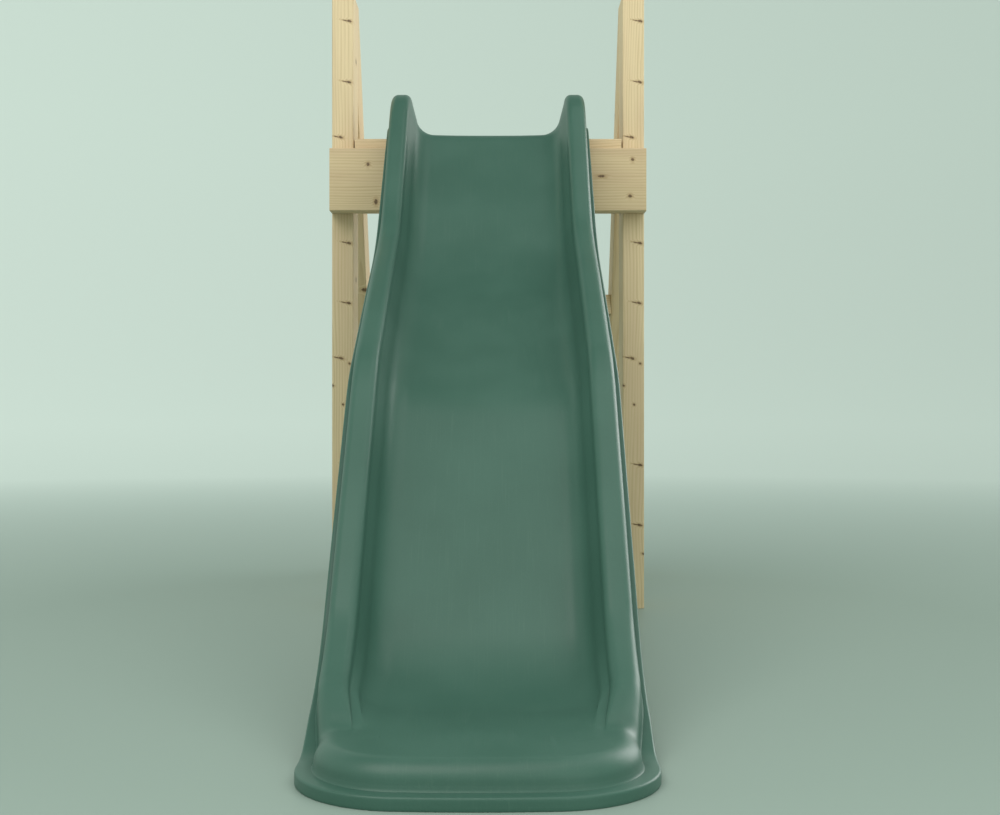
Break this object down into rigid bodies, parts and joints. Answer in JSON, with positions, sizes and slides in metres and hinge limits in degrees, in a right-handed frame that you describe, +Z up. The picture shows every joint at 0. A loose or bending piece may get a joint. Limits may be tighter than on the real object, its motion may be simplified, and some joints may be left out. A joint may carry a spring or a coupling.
{
  "type": "toddler slide",
  "caption": "Free-standing garden slide for toddlers: a moulded wave chute with raised side rails, hung on a timber A-frame ladder with a small deck and handrail posts.",
  "frame": {"origin": "middle of the footprint, on the ground", "axes": "+Z up, +Y towards the ladder at the back, the chute runs down towards -Y, +X to the right of someone at the chute's end who faces the ladder"},
  "size_m": [0.64, 2.143, 1.26],
  "materials": {
    "green_plastic": "moulded, fine orange-peel, slightly satin",
    "pine": "planed softwood with a matt clear coat",
    "zinc_steel": "zinc plated"
  },
  "bodies": {
    "root": {"chute": "green_plastic", "left_post": "pine", "right_post": "pine", "left_leg": "pine", "right_leg": "pine", "fascia_board": "pine", "front_deck_board": "pine", "rear_deck_board": "pine", "left_deck_bearer": "pine", "right_deck_bearer": "pine", "upper_tread": "pine", "lower_tread": "pine", "left_apex_screws": "zinc_steel", "right_apex_screws": "zinc_steel", "apex_washers": "zinc_steel", "fascia_screws": "zinc_steel", "fascia_washers": "zinc_steel", "left_bearer_screws": "zinc_steel", "right_bearer_screws": "zinc_steel", "deck_screws": "zinc_steel", "upper_tread_screws": "zinc_steel", "lower_tread_screws": "zinc_steel", "chute_screws": "zinc_steel", "chute_washers": "zinc_steel"}
  },
  "joints": []
}
